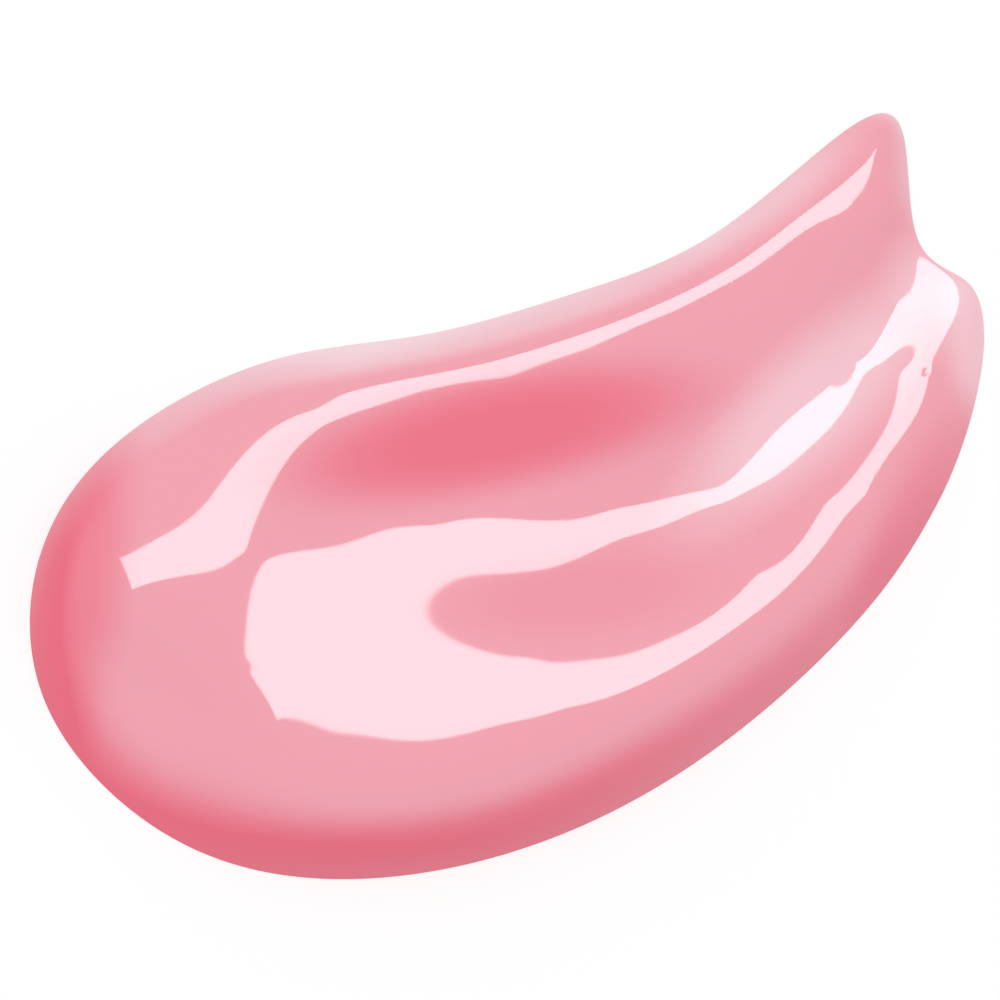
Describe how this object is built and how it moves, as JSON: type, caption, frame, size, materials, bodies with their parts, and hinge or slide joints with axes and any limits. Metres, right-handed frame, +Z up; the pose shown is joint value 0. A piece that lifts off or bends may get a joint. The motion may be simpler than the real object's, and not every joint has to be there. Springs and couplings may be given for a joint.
{
  "type": "lip gloss smear",
  "caption": "Smear of clear pink lip gloss: one thick glossy stroke with a rounded head, two crests round a shallow trough, and a pulled tail.",
  "frame": {"origin": "middle of the footprint's box, on the surface that the gel lies on", "axes": "+X along the stroke from the round head to the pulled tail, +Y towards the side that was wiped thin, +Z up out of the surface"},
  "size_m": [0.042, 0.023, 0.0032],
  "materials": {
    "gloss_gel": "wet, mirror-smooth clear pink gel, deeper pink where it is thick or steep and paler where it is thin"
  },
  "bodies": {
    "root": {"gloss_smear": "gloss_gel"}
  },
  "joints": []
}
